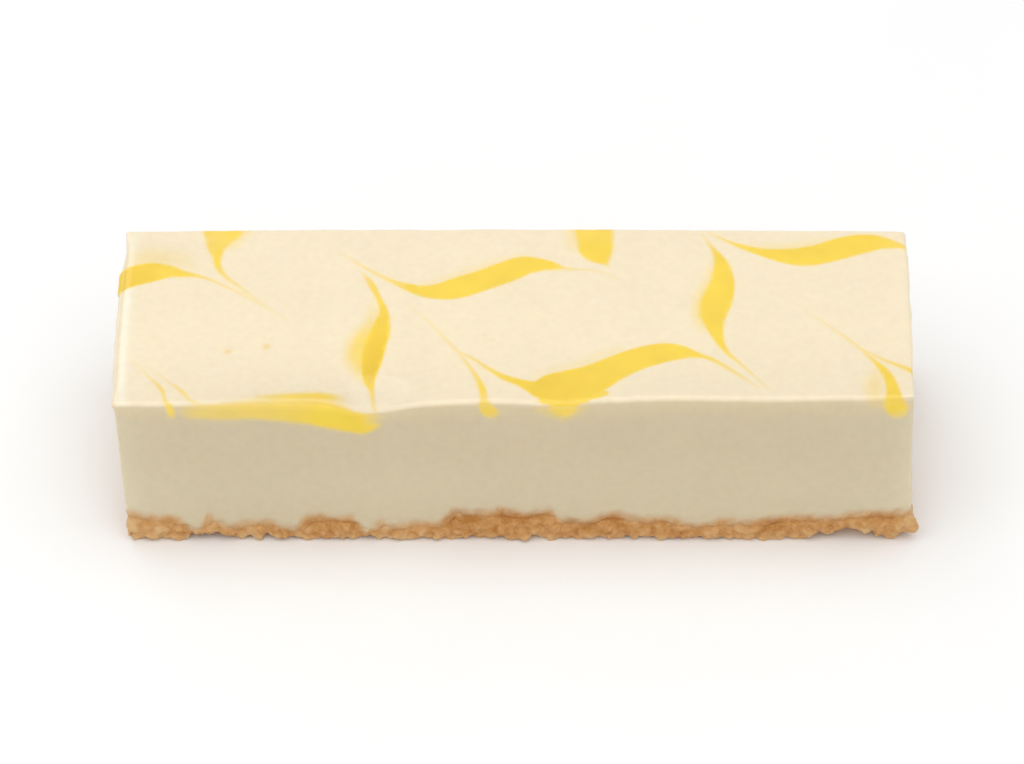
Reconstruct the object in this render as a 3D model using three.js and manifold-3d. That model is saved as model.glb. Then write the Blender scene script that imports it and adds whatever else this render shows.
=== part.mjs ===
// A bar of no-bake lemon cheesecake: a pale lemon cheese filling set on a pressed
// biscuit crumb base. Millimetres, +Z up. X runs along the bar, left to right as seen
// from the front, and the front cut face looks towards -Y. The origin is at the middle
// of the box round the bar, on the surface that it rests on.

import * as THREE from 'three';
import { mergeVertices } from 'three/addons/utils/BufferGeometryUtils.js';
import Module from 'manifold-3d';

const wasm = await Module();
wasm.setup();

// ---- driving dimensions ----------------------------------------------------------

const LENGTH = 100; // of the top, end to end
const DEPTH = 33.9; // front cut to back cut
const HEIGHT = 23.7; // underside to the middle of the top
const GAP = 0.3; // between the filling and the base that it sits on

const FRONT_RISE = 0.6; // the front edge climbs this much from the middle to the right end
const BACK_SAG = 0.4; // the back edge falls this much from the middle to either end
const DENT = { x: -18, depth: 1.5, left: 4, right: 6, reach: 4 }; // dip in the front edge
const LEFT_SWELL = { out: 0.42, y: -2, width: 15 }; // the glazed left end swells outwards
const RIGHT_SWELL = { out: 0.6, y: 13, width: 19 };
const LEFT_LEAN = 0.75; // the foot of the left end lies this far inside its top
const RIGHT_LEAN = 0.5; // the foot of the right end lies this far outside its top
const SHOULDER = 1.4; // radius of the top edge where glaze ran over the left end
const EDGE = 0.5; // radius of the other edges
const FILLING_CELLS = [38, 12, 6]; // along X, Y and Z

const BASE_MEAN = 3.8; // thickness of the base behind the front face
const BASE_INSET = 0.5; // the crumbs stand on a slab this far inside the cut faces
const BASE_CELLS = [44, 6]; // along X and Y
const LINE_SPREAD = 3; // the top of the base is worked out this far past the outline
const RIPPLE = 0.55; // unevenness of the top of the base
const FRONT_BAND = 6; // the front line of the base fades out over this depth

const CRUMB_RADIUS = [1.2, 2.0];
const CRUMB_PROUD = [0.1, 0.7]; // how far a crumb stands out of the cut face
const CRUMB_STEP = 3.1; // spacing along the outline
const CRUMB_FACETS = [6, 3]; // round and along each crumb
const CRUMB_WARP = [0.8, 1.14]; // each corner of a crumb moves in or out by this factor
const ROOM_SCALE = 1.35; // the filling is cut by each crumb at this size, which leaves the gap
const LEFT_RECESS = 0.3; // the crumbs of the left end lie this much further in
const SEED = 7;

// Top of the base along the front face: x and height, where the line changes direction.
const CRUST_LINE = [
  [-50, 4.9], [-48, 4.7], [-45.5, 4.1], [-42.5, 3.8], [-40.3, 2.0], [-38.8, 4.0], [-36, 2.6],
  [-33.5, 3.4], [-31.8, 3.4], [-28, 2.2], [-26, 4.3], [-20.5, 4.1], [-18.8, 2.4], [-16.8, 3.6],
  [-15.7, 2.8], [-13, 3.4], [-9.8, 3.0], [-7.6, 5.5], [-4.5, 4.9], [-2, 5.2], [0.8, 4.7],
  [3.5, 5.4], [4.6, 5.3], [6, 3.8], [8.8, 3.6], [11.5, 4.6], [16.8, 3.9], [18.8, 4.1],
  [20.5, 3.4], [23, 2.9], [27, 3.6], [31, 3.5], [34, 4.1], [40, 4.1], [44, 4.8], [47, 4.9],
  [50, 5.2],
];

// Gaps under the front edge where crumbs have fallen away: middle, half width, height.
const LOWER_GAPS = [
  [-39.7, 2.5, 1.2], [-35, 0.5, 0.8], [-31.5, 0.6, 1.0], [-28.5, 0.5, 0.8],
  [-19.4, 0.5, 0.9], [8.4, 0.5, 1.0], [16, 1.3, 0.6], [41, 3.6, 1.5], [51.5, 3.4, 0.9],
];
const LOWER_GAP_REACH = 2.2; // how far back each gap runs
const LOWER_GAP_FACETS = [9, 6];

const FILLING_COLOUR = '#f7e9c6';
const BASE_COLOUR = '#b9824a';

const END = LENGTH / 2;
const SIDE = DEPTH / 2;

// ---- helpers ---------------------------------------------------------------------

const { lerp, clamp, smoothstep } = THREE.MathUtils;

// A seeded generator, so that every build draws the same crumbs.
function makeRandom(seed) {
  let state = seed;
  return (low = 0, high = 1) => {
    state = (state + 0x6d2b79f5) | 0;
    let mixed = Math.imul(state ^ (state >>> 15), 1 | state);
    mixed = (mixed + Math.imul(mixed ^ (mixed >>> 7), 61 | mixed)) ^ mixed;
    return lerp(low, high, ((mixed ^ (mixed >>> 14)) >>> 0) / 2 ** 32);
  };
}

function bell(distance, width) {
  return Math.exp(-((distance / width) ** 2));
}

// The height at x of a line through [x, height] points, eased between each pair.
function heightAlong(points, x) {
  const left = clamp(points.findLastIndex((point) => point[0] <= x), 0, points.length - 2);
  const [x0, z0] = points[left];
  const [x1, z1] = points[left + 1];
  return lerp(z0, z1, smoothstep(x, x0, x1));
}

// Moves every corner of a geometry as move(corner) says.
function reshape(geometry, move) {
  const { position } = geometry.attributes;
  const corner = new THREE.Vector3();
  for (let i = 0; i < position.count; i += 1) {
    move(corner.fromBufferAttribute(position, i));
    position.setXYZ(i, corner.x, corner.y, corner.z);
  }
  return geometry;
}

function withMergedCorners(geometry) {
  geometry.deleteAttribute('normal');
  geometry.deleteAttribute('uv');
  return mergeVertices(geometry, 1e-5);
}

function solidFrom(geometry) {
  const merged = withMergedCorners(geometry);
  return new wasm.Manifold(new wasm.Mesh({
    numProp: 3,
    vertProperties: new Float32Array(merged.attributes.position.array),
    triVerts: new Uint32Array(merged.index.array),
  }));
}

function joined(solids) {
  return solids.reduce((whole, solid) => whole.add(solid));
}

// The largest connected piece, with no sealed hollow and no loose scrap.
function largestPiece(solid) {
  return solid.decompose().reduce((best, piece) => (piece.volume() > best.volume() ? piece : best));
}

// ---- outer form ------------------------------------------------------------------

function topLift(x, y) {
  const along = x / END;
  const lift = lerp(FRONT_RISE * along, -BACK_SAG * along * along, (y + SIDE) / DEPTH);
  const width = x < DENT.x ? DENT.left : DENT.right;
  return lift - DENT.depth * bell(x - DENT.x, width) * bell(y + SIDE, DENT.reach);
}

// Where the left and right ends lie at a height, from nominal ends at -END and END.
function leftEnd(y, z) {
  const up = z / HEIGHT;
  return -END - LEFT_SWELL.out * up * bell(y - LEFT_SWELL.y, LEFT_SWELL.width) + LEFT_LEAN * (1 - up);
}

function rightEnd(y, z) {
  const up = z / HEIGHT;
  return END + RIGHT_SWELL.out * up * bell(y - RIGHT_SWELL.y, RIGHT_SWELL.width) + RIGHT_LEAN * (1 - up);
}

// Rounds the edges of the plain block, more at the top of the left end.
function roundEdges(corner) {
  const leftness = 1 - smoothstep(corner.x, 2 * SHOULDER - END, 4 * SHOULDER - END);
  const topness = smoothstep(corner.z, HEIGHT - 4 * SHOULDER, HEIGHT - SHOULDER);
  const radius = lerp(EDGE, SHOULDER, leftness * topness);
  const inner = new THREE.Vector3(
    clamp(corner.x, radius - END, END - radius),
    clamp(corner.y, radius - SIDE, SIDE - radius),
    Math.min(corner.z, HEIGHT - radius),
  );
  corner.sub(inner).setLength(radius).add(inner);
}

// Leans and swells the ends, tilts the top and dips its front edge.
function settle(corner) {
  const { x, y, z } = corner;
  corner.x = lerp(leftEnd(y, z), rightEnd(y, z), (x + END) / LENGTH);
  corner.z = z + topLift(x, y) * (z / HEIGHT) ** 3;
}

function fillingBlock() {
  const block = new THREE.BoxGeometry(2, 2, 2, ...FILLING_CELLS);
  return solidFrom(reshape(block, (corner) => {
    const quarter = Math.PI / 2;
    corner.x = END * Math.sin(quarter * corner.x);
    corner.y = SIDE * Math.sin(quarter * corner.y);
    corner.z = HEIGHT * Math.cos((quarter * (1 - corner.z)) / 2);
    roundEdges(corner);
    settle(corner);
  }));
}

// ---- biscuit base ----------------------------------------------------------------

function baseTop(x, y) {
  const slow = Math.sin(x / 3.7 + 1.1) * Math.cos(y / 4.3 - x / 9);
  const quick = 0.6 * Math.sin(x / 1.7 + y / 2.1);
  const inside = BASE_MEAN + RIPPLE * (slow + quick);
  return lerp(heightAlong(CRUST_LINE, x), inside, smoothstep(y, 1 - SIDE, FRONT_BAND - SIDE));
}

// All that lies less than raised above the top of the base, also outside the outline.
function underLine(raised) {
  const width = LENGTH + 2 * LINE_SPREAD;
  const slab = new THREE.BoxGeometry(width, DEPTH + 2 * LINE_SPREAD, 2, ...BASE_CELLS, 1);
  return solidFrom(reshape(slab, (corner) => {
    corner.z = corner.z > 0 ? baseTop(corner.x, corner.y) + raised : -HEIGHT;
  }));
}

// The slab of pressed crumbs that the crumbs of the cut faces stand on.
function baseSlab() {
  const left = leftEnd(SIDE, BASE_MEAN) + LEFT_RECESS + BASE_INSET;
  const right = rightEnd(-SIDE, BASE_MEAN) - BASE_INSET;
  const slab = new THREE.BoxGeometry(right - left, DEPTH - 2 * BASE_INSET, 2 * HEIGHT);
  return solidFrom(slab.translate((left + right) / 2, 0, 0)).intersect(underLine(0));
}

// A lumpy pebble.
function crumbGeometry(random, radius) {
  const pebble = withMergedCorners(new THREE.SphereGeometry(1, ...CRUMB_FACETS));
  reshape(pebble, (corner) => corner.multiplyScalar(radius * random(...CRUMB_WARP)));
  pebble.rotateX(random(0, Math.PI)).rotateZ(random(0, 2 * Math.PI));
  return pebble;
}

// Crumbs all the way round the cut faces, in a low row and a row just under the filling.
function drawCrumbs(random) {
  const sides = [
    { from: [-END, -SIDE], to: [END, -SIDE] },
    { from: [END, -SIDE], to: [END, SIDE] },
    { from: [END, SIDE], to: [-END, SIDE] },
    { from: [-END, SIDE], to: [-END, -SIDE] },
  ];
  const crumbs = [];
  for (const { from, to } of sides) {
    const length = Math.hypot(to[0] - from[0], to[1] - from[1]);
    const count = 2 * Math.round(length / CRUMB_STEP);
    for (let i = 0; i < count; i += 1) {
      const along = (i + random(0.2, 1.2)) / count;
      const x = lerp(from[0], to[0], along);
      const y = lerp(from[1], to[1], along);
      const underFilling = Math.max(1.2, baseTop(x, y) - random(0.6, 1.6));
      const z = i % 2 === 1 ? underFilling : random(0.5, 1.1);
      const geometry = crumbGeometry(random, random(...CRUMB_RADIUS));
      geometry.computeBoundingBox();
      const { min, max } = geometry.boundingBox;
      const proud = random(...CRUMB_PROUD);
      const leftmost = leftEnd(y, z) + LEFT_RECESS - min.x - proud;
      const rightmost = rightEnd(y, z) - max.x + proud;
      const centre = new THREE.Vector3(
        clamp(x, leftmost, rightmost),
        clamp(y, -SIDE - min.y - proud, SIDE - max.y + proud),
        z,
      );
      crumbs.push({ centre, geometry });
    }
  }
  return crumbs;
}

function crumbSolid({ centre, geometry }, size) {
  return solidFrom(geometry.clone().scale(size, size, size).translate(...centre));
}

function lowerGap([middle, halfWidth, height], random) {
  const hollow = withMergedCorners(new THREE.SphereGeometry(1, ...LOWER_GAP_FACETS));
  reshape(hollow, (corner) => corner.multiplyScalar(random(0.85, 1.1)));
  hollow.rotateX(Math.PI / 2).scale(halfWidth, LOWER_GAP_REACH, height);
  return solidFrom(hollow.translate(middle, -SIDE, 0));
}

// ---- the two pieces --------------------------------------------------------------

const random = makeRandom(SEED);
const crumbs = drawCrumbs(random);
const gaps = LOWER_GAPS.map((gap) => lowerGap(gap, random));

// What lies under the table's surface is cut off, so that the bar rests on a flat face.
const underTable = new THREE.BoxGeometry(2 * LENGTH, 2 * LENGTH, 2 * HEIGHT).translate(0, 0, -HEIGHT);

const baseSolid = largestPiece(
  joined([baseSlab(), ...crumbs.map((crumb) => crumbSolid(crumb, 1))])
    .subtract(joined(gaps))
    .subtract(solidFrom(underTable)),
);

const roomForCrumbs = joined(crumbs.map((crumb) => crumbSolid(crumb, ROOM_SCALE)));
const fillingSolid = largestPiece(
  fillingBlock().subtract(underLine(GAP)).subtract(roomForCrumbs),
);

function meshOf(solid, name, material) {
  const { vertProperties, triVerts } = solid.getMesh();
  const geometry = new THREE.BufferGeometry();
  geometry.setAttribute('position', new THREE.BufferAttribute(vertProperties, 3));
  geometry.setIndex(new THREE.BufferAttribute(triVerts, 1));
  geometry.computeVertexNormals();
  const mesh = new THREE.Mesh(geometry, new THREE.MeshStandardMaterial(material));
  mesh.name = name;
  return mesh;
}

const group = new THREE.Group();
group.add(
  meshOf(fillingSolid, 'lemon_cheese_filling', { color: FILLING_COLOUR, roughness: 0.35, metalness: 0 }),
  meshOf(baseSolid, 'biscuit_base', { color: BASE_COLOUR, roughness: 0.9, metalness: 0 }),
);

// The crumbs stand out unevenly, so the origin is set from the box round both pieces.
const box = new THREE.Box3().setFromObject(group, true);
const middle = box.getCenter(new THREE.Vector3());
group.position.set(-middle.x, -middle.y, -box.min.z);

export default group;
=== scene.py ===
import math

import bmesh
import bpy
import numpy as np
from bpy.props import FloatProperty, FloatVectorProperty, IntProperty, PointerProperty
from bpy.types import Operator, Panel, PropertyGroup
from mathutils import Matrix, Vector, kdtree


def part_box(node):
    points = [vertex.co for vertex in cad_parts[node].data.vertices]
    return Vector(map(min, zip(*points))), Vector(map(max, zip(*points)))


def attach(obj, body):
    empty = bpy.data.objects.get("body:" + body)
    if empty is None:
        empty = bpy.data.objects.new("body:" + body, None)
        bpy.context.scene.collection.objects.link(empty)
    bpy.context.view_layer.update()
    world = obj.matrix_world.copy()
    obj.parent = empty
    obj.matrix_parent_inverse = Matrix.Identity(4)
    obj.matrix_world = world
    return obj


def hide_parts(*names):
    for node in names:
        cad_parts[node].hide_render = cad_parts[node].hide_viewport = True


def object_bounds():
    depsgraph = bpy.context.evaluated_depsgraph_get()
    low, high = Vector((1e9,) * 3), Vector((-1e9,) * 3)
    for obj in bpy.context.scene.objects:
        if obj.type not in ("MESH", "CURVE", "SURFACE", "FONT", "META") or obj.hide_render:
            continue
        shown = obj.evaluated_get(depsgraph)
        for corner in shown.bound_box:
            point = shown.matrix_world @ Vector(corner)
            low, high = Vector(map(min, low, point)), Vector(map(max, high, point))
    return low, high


bl_info = {
    "name": "No-Bake Lemon Cheesecake",
    "version": (1, 0, 0),
    "blender": (4, 5, 0),
    "location": "View3D > Sidebar > Cheesecake",
    "description": "Makes a bar of marbled lemon cheesecake on a biscuit crumb base",
    "category": "Add Mesh",
}

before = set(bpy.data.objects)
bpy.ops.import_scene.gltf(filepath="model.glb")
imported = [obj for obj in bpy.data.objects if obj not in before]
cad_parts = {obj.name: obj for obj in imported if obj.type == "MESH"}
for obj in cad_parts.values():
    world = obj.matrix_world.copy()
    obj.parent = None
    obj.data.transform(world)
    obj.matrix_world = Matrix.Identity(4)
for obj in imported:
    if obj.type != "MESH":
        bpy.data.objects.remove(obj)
CAD_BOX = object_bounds()

MM = 0.001

# ---- form of the bar, in mm, from the middle of its top's outline --------------------

LENGTH = 100.0
DEPTH = 33.9
HEIGHT = 23.7
END = LENGTH / 2
SIDE = DEPTH / 2
FRONT_RISE = 0.6
BACK_SAG = 0.4
DENT = {"x": -18.0, "depth": 1.5, "left": 4.0, "right": 6.0, "reach": 4.0}
LEFT_SWELL = {"out": 0.42, "y": -2.0, "width": 15.0}
RIGHT_SWELL = {"out": 0.6, "y": 13.0, "width": 19.0}
LEFT_LEAN = 0.75
RIGHT_LEAN = 0.5
SHOULDER = 1.4
EDGE = 0.5
TOP_EDGE = 0.55
POOL_EDGE = 1.1
LEFT_OVERHANG = 0.36
FRONT_SAGS = (
    {"x": 5.5, "depth": 0.35, "width": 4.6, "reach": 2.5},
    {"x": 20.0, "depth": -0.3, "width": 6.5, "reach": 3.0},
)
BASE_MEAN = 3.8
RIPPLE = 0.55
FRONT_BAND = 6.0
LEFT_RECESS = 0.3
RIGHT_PROUD = 0.3
CRUMBS_PROUD = 0.7
SMEAR_RANGE = (-1.0, 1.0)

# Top of the base along the front face: x and height, where the line changes direction.
CRUST_LINE = np.array((
    (-50, 4.9), (-48, 4.7), (-45.5, 4.1), (-42.5, 3.8), (-40.3, 2.0), (-38.8, 4.0), (-36, 2.6),
    (-33.5, 3.4), (-31.8, 3.4), (-28, 2.2), (-26, 4.3), (-20.5, 4.1), (-18.8, 2.4), (-16.8, 3.6),
    (-15.7, 2.8), (-13, 3.4), (-9.8, 3.0), (-7.6, 5.5), (-4.5, 4.9), (-2, 5.2), (0.8, 4.7),
    (3.5, 5.4), (4.6, 5.3), (6, 3.8), (8.8, 3.6), (11.5, 4.6), (16.8, 3.9), (18.8, 4.1),
    (20.5, 3.4), (23, 2.9), (27, 3.6), (31, 3.5), (34, 4.1), (40, 4.1), (44, 4.8), (47, 4.9),
    (50, 5.2),
))

# Gaps under the front edge where crumbs have fallen away: middle, half width, height.
LOWER_GAPS = (
    (-39.5, 2.7, 1.5), (-35, 0.6, 0.9), (-31.5, 0.6, 1.0), (-28.5, 0.5, 0.8),
    (-19.4, 0.5, 0.9), (8.4, 0.5, 1.0), (16, 1.3, 0.6), (41.4, 4.0, 1.8), (51.5, 3.6, 1.2),
)
LOWER_GAP_REACH = 2.2

# Single larger crumbs at the foot: x, y, height of the middle and radius.
CLUMPS = ((50.8, -16.4, 1.8, 0.8), (49.9, -16.1, 1.7, 0.8), (50.5, -16.2, 2.7, 0.75))

# The bar's own middle, from the frame: the crumbs stand CRUMBS_PROUD out at the most.
CAD_LOW, CAD_HIGH = (Vector(corner) / MM for corner in CAD_BOX)
FILLING_LOW, FILLING_HIGH = (Vector(corner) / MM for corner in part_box("lemon_cheese_filling"))
RIGHT_DRIFT = 0.17  # the right end stands out this much more than the left
MIDDLE = Vector((
    (FILLING_LOW.x + FILLING_HIGH.x) / 2 - RIGHT_DRIFT,
    (FILLING_LOW.y + FILLING_HIGH.y) / 2,
    CAD_LOW.z,
))

# ---- marbling ------------------------------------------------------------------------

# Each stroke of lemon sauce runs through (x, y, half width, strength). A stroke that goes
# over an edge carries on down the cut face, as if the face were folded up level.
STROKES = {
    "left end": (
        (-53.0, 6.7, 1.2, 0.9), (-50.5, 7.1, 2.1, 1.2), (-48.5, 7.7, 1.95, 1.2),
        (-46.2, 8.45, 1.85, 1.1), (-44.0, 8.55, 1.2, 1.0), (-42.0, 8.1, 0.58, 1.0),
        (-40.0, 7.6, 0.3, 0.8), (-37.5, 6.25, 0.23, 0.5), (-33.0, 2.9, 0.2, 0.36),
        (-30.0, 0.3, 0.18, 0.24), (-27.8, -1.7, 0.1, 0.05),
    ),
    "back left": (
        (-37.6, 18.3, 1.9, 0.8), (-37.5, 16.7, 2.45, 0.92), (-37.8, 15.5, 1.9, 0.86),
        (-38.1, 13.5, 1.25, 0.9), (-37.95, 11.5, 0.62, 1.0), (-37.7, 9.5, 0.42, 0.95),
        (-36.7, 7.6, 0.3, 0.75), (-34.5, 5.2, 0.25, 0.5), (-32.0, 2.4, 0.2, 0.32),
        (-30.4, 0.9, 0.1, 0.1),
    ),
    "middle wave": (
        (-22.6, 12.5, 0.12, 0.15), (-19.8, 9.7, 0.25, 0.4), (-16.0, 6.7, 0.34, 0.65),
        (-13.2, 5.05, 0.75, 1.0), (-11.2, 4.3, 1.15, 1.0), (-9.0, 4.35, 1.65, 1.0),
        (-7.0, 5, 2.05, 1.0), (-4.0, 6.5, 1.98, 1.0), (-1.0, 8.15, 2.03, 1.0),
        (1.2, 9.4, 1.78, 1.0), (3.5, 9.5, 1.15, 1.0), (5.0, 9.25, 0.7, 1.0),
        (6.6, 8.75, 0.24, 0.6), (10.0, 8.3, 0.18, 0.32), (12.0, 7.45, 0.18, 0.25),
        (14.0, 5.5, 0.12, 0.05),
    ),
    "left blade": (
        (-19.3, 8.1, 0.16, 0.3), (-18.15, 5.9, 0.45, 0.85), (-17.05, 3, 0.38, 0.95),
        (-16.35, 0.5, 0.58, 1.0), (-16.45, -1.8, 1.0, 1.1), (-16.75, -3.9, 1.3, 1.2),
        (-17.25, -6, 1.38, 1.35), (-17.65, -9, 1.3, 1.35), (-17.95, -12, 0.8, 1.3),
        (-17.6, -14, 0.36, 0.85), (-17.3, -16.5, 0.24, 0.55), (-16.9, -18.2, 0.12, 0.25),
    ),
    "long thread": (
        (-14.5, 2.7, 0.12, 0.06), (-11.0, -1.1, 0.22, 0.22), (-8.5, -5, 0.25, 0.34),
        (-6.9, -7.4, 0.27, 0.45),
    ),
    "front wave": (
        (-6.9, -7.4, 0.25, 0.35), (-5.0, -8.85, 0.27, 0.6), (-3.0, -10.8, 0.32, 0.78),
        (-1.2, -12.35, 0.5, 0.95), (0.8, -13.4, 0.65, 1.05), (2.3, -14.2, 1.0, 1.1),
        (3.6, -14.6, 1.6, 1.15), (5.2, -14.2, 2.35, 1.15), (7.0, -14.1, 2.85, 1.1),
        (9.5, -13.1, 2.7, 1.05),
        (12.0, -11.3, 2.3, 1.0), (15.0, -9.35, 2.1, 1.0), (18.0, -8.1, 1.95, 1.0),
        (20.0, -7.8, 1.6, 1.0), (22.0, -8.1, 0.9, 1.0), (23.5, -8.6, 0.42, 0.95),
        (25.0, -9.4, 0.32, 0.85), (27.0, -11.2, 0.3, 0.65), (30.5, -14.8, 0.18, 0.25),
    ),
    "front wave's lobe": (
        (8.0, -15.2, 1.6, 1.0), (10.0, -15.5, 1.1, 1.0), (11.4, -15.6, 0.5, 0.9),
    ),
    "front wave's lip": ((4.0, -16.3, 0.9, 1.0), (6.3, -16.6, 1.2, 1.0), (8.8, -16.3, 0.9, 1.0)),
    "front wave's drop": (
        (6.2, -17.3, 1.9, 0.85), (6.1, -18.0, 1.4, 0.75), (5.9, -18.6, 0.8, 0.5),
        (5.8, -19.1, 0.3, 0.1),
    ),
    "front thread": (
        (-6.9, -7.4, 0.25, 0.35), (-5.6, -10, 0.26, 0.55), (-4.5, -12.5, 0.34, 0.8),
        (-3.85, -14.6, 0.46, 0.95), (-3.65, -16.5, 0.5, 0.75), (-3.5, -17.8, 0.8, 0.85),
        (-3.0, -19, 1.0, 0.85), (-2.6, -19.8, 0.5, 0.4),
    ),
    "back middle": (
        (10.1, 18.4, 1.9, 0.8), (10.1, 16.7, 2.4, 0.92), (10.2, 14.5, 2.35, 0.96),
        (10.2, 12.8, 2.2, 1.0), (10.6, 11.5, 1.65, 1.0), (11.1, 10.5, 0.9, 1.0),
        (11.5, 9.7, 0.4, 0.8), (12.0, 8.8, 0.12, 0.15),
    ),
    "right blade": (
        (23.8, 16.1, 0.14, 0.15), (24.6, 14.1, 0.22, 0.5), (25.3, 12.5, 0.36, 0.85),
        (26.05, 10.5, 0.75, 1.0), (26.35, 8.3, 1.2, 1.0), (26.25, 5.5, 1.6, 1.0),
        (25.7, 2.7, 1.95, 1.0), (25.25, 0.3, 1.8, 1.0), (25.15, -1.7, 1.36, 1.0),
        (25.45, -3.8, 0.93, 1.0), (25.95, -6, 0.55, 1.0), (26.95, -8.2, 0.33, 0.85),
        (28.4, -10.2, 0.25, 0.6), (31.8, -15.0, 0.16, 0.22),
    ),
    "right wave": (
        (24.6, 16.2, 0.16, 0.3), (26.6, 14.7, 0.25, 0.65), (28.8, 13.3, 0.45, 0.95),
        (31.5, 12.1, 0.8, 1.0), (34.0, 11.45, 1.38, 1.0), (36.5, 11.25, 1.9, 1.0),
        (39.0, 11.9, 2.0, 1.0), (42.0, 13.25, 2.1, 1.0), (44.5, 14.1, 1.85, 1.0),
        (46.5, 14.3, 1.35, 0.98), (48.5, 13.85, 0.7, 0.9), (50.0, 13.35, 0.32, 0.8),
        (52.2, 12.8, 0.2, 0.3),
    ),
    "front right": (
        (35.4, 2.3, 0.12, 0.05), (38.0, -1, 0.2, 0.22), (42.0, -5.4, 0.28, 0.4),
        (43.5, -7.4, 0.25, 0.5), (45.0, -9.6, 0.3, 0.85), (46.2, -11.5, 0.55, 1.0),
        (46.9, -13.5, 0.7, 1.0), (47.2, -15.5, 0.85, 1.0), (47.3, -17.3, 1.1, 0.95),
    ),
    "front drop": (
        (47.2, -16.7, 0.9, 0.7), (47.3, -17.8, 1.3, 0.95), (47.7, -19, 1.3, 0.95),
        (48.1, -19.8, 0.9, 0.55), (48.3, -20.6, 0.3, 0.1),
    ),
    "right thread": (
        (43.2, -6.9, 0.2, 0.4), (46.0, -9.3, 0.28, 0.6), (48.5, -10.9, 0.36, 0.8),
        (50.3, -12.1, 0.45, 0.85), (51.8, -12.9, 0.3, 0.3),
    ),
    "corner thread": (
        (-47.8, -8.4, 0.12, 0.1), (-45.6, -11.5, 0.2, 0.34), (-43.8, -14.2, 0.3, 0.75),
        (-43.4, -15.9, 0.24, 0.6), (-42.8, -17.5, 0.45, 0.85), (-42.6, -18.9, 0.45, 0.7),
        (-42.5, -19.9, 0.2, 0.15),
    ),
    "corner's second thread": (
        (-46.0, -9.5, 0.12, 0.1), (-43.0, -12.7, 0.2, 0.34), (-41.2, -14.7, 0.36, 0.55),
        (-40.3, -16.1, 0.27, 0.5), (-39.0, -17.1, 0.3, 0.5),
    ),
    "front pool": (
        (-41.4, -18.3, 0.5, 0.15), (-39.9, -18.45, 1.2, 0.5), (-38.0, -18.45, 1.45, 0.6),
        (-35.5, -18.35, 1.55, 0.68), (-32.3, -18.2, 1.7, 0.74), (-28.6, -18.25, 2.0, 0.8),
        (-26.7, -18.45, 2.2, 0.87), (-23.9, -18.95, 2.5, 1.0), (-22.3, -19.25, 2.5, 1.0),
        (-20.4, -19.6, 2.35, 1.0), (-18.9, -19.5, 2.1, 0.95), (-17.9, -19.1, 1.5, 0.5),
        (-16.6, -19.1, 0.6, 0.03),
    ),
    "front pool's drip": ((-24.8, -21, 0.3, 0.3), (-24.7, -21.4, 0.35, 0.35)),
    "pool seen through the glaze": (
        (-31.6, -15.85, 0.45, 0.3), (-29.0, -15.8, 0.6, 0.7), (-25.0, -15.65, 0.62, 0.9),
        (-22.8, -15.5, 0.58, 0.85), (-21.4, -15.4, 0.45, 0.3),
    ),
}

# Pale sauce that lies deeper, beside a stroke. Its edges fade over its half width.
HALOS = {
    "left end": (
        (-49.0, 10.5, 1.2, 0.15), (-46.5, 11, 1.8, 0.34), (-43.0, 10.6, 1.5, 0.24),
        (-40.5, 9.4, 1.0, 0.08),
    ),
    "middle wave": (
        (-11.5, 5.7, 0.6, 0.12), (-8.0, 6.8, 0.9, 0.25), (-5.0, 8.2, 1.0, 0.26),
        (-1.5, 10, 0.9, 0.22), (1.5, 11.2, 0.6, 0.12),
    ),
    "left blade": (
        (-17.8, 2.1, 0.4, 0.15), (-17.9, -1.5, 0.7, 0.5), (-19.0, -5, 1.2, 0.8),
        (-19.6, -8.5, 1.15, 0.76), (-19.0, -12, 0.7, 0.3),
    ),
    "right blade": (
        (25.3, 11, 0.5, 0.15), (25.2, 7, 1.0, 0.4), (24.2, 2.5, 1.2, 0.62),
        (23.8, -0.5, 1.1, 0.58), (24.1, -3.1, 0.8, 0.3), (24.8, -4.7, 0.4, 0.1),
    ),
    "right wave": (
        (29.5, 13.9, 0.5, 0.1), (33.0, 13, 1.0, 0.24), (36.5, 13.4, 1.0, 0.24),
        (39.5, 14.7, 0.8, 0.12),
    ),
    "front wave": (
        (3.0, -12, 0.8, 0.12), (8.0, -10.2, 0.9, 0.2), (13.0, -7.3, 0.8, 0.14),
    ),
    "front right": (
        (45.4, -11, 0.5, 0.15), (44.9, -14.5, 1.0, 0.42), (45.0, -17.5, 0.9, 0.3),
    ),
    "front pool's rim": (
        (-36.0, -16.8, 0.6, 0.1), (-31.5, -16.5, 0.9, 0.3), (-27.0, -16.4, 1.0, 0.45),
        (-23.5, -16.4, 1.0, 0.55), (-21.0, -17.1, 0.7, 0.5),
    ),
    "front wave's lip": ((3.6, -18.4, 0.8, 0.3), (6.0, -19, 1.1, 0.5), (8.2, -18.2, 0.8, 0.3)),
    "back middle": ((7.4, 16.5, 0.8, 0.4), (7.2, 13, 0.6, 0.25)),
    "back left": ((-35.2, 16.5, 1.1, 0.5), (-36.4, 13.9, 0.9, 0.4)),
}

# Single tan flecks: x, y, radius and strength.
FLECKS = (
    (-35.7, -7.0, 0.42, 0.75), (-30.85, -6.15, 0.5, 0.75), (-45.0, -4.3, 0.26, 0.35),
    (-37.7, -9.7, 0.34, 0.15), (-30.3, -4.7, 0.2, 0.25), (-3.6, -4.2, 0.24, 0.28),
    (-2.6, -5.4, 0.28, 0.28), (-26.3, 7.8, 0.32, 0.14), (-1.0, -4.9, 0.16, 0.15),
    (-33.7, -23.8, 0.26, 0.25), (-0.4, -25.9, 0.16, 0.25), (22.7, -25, 0.2, 0.2),
    (-2.2, -20.6, 0.18, 0.5), (30.2, -18.4, 0.4, 0.12),
)
STROKE_BLUR = 0.26
SOFT_STROKES = {
    "front pool": 0.6, "pool seen through the glaze": 0.4, "front wave's lip": 0.35,
    "front wave's drop": 0.5, "front pool's drip": 0.4, "front drop": 0.5,
    "back middle": 0.35, "back left": 0.35,
}
STROKE_STEP = 0.3


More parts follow.
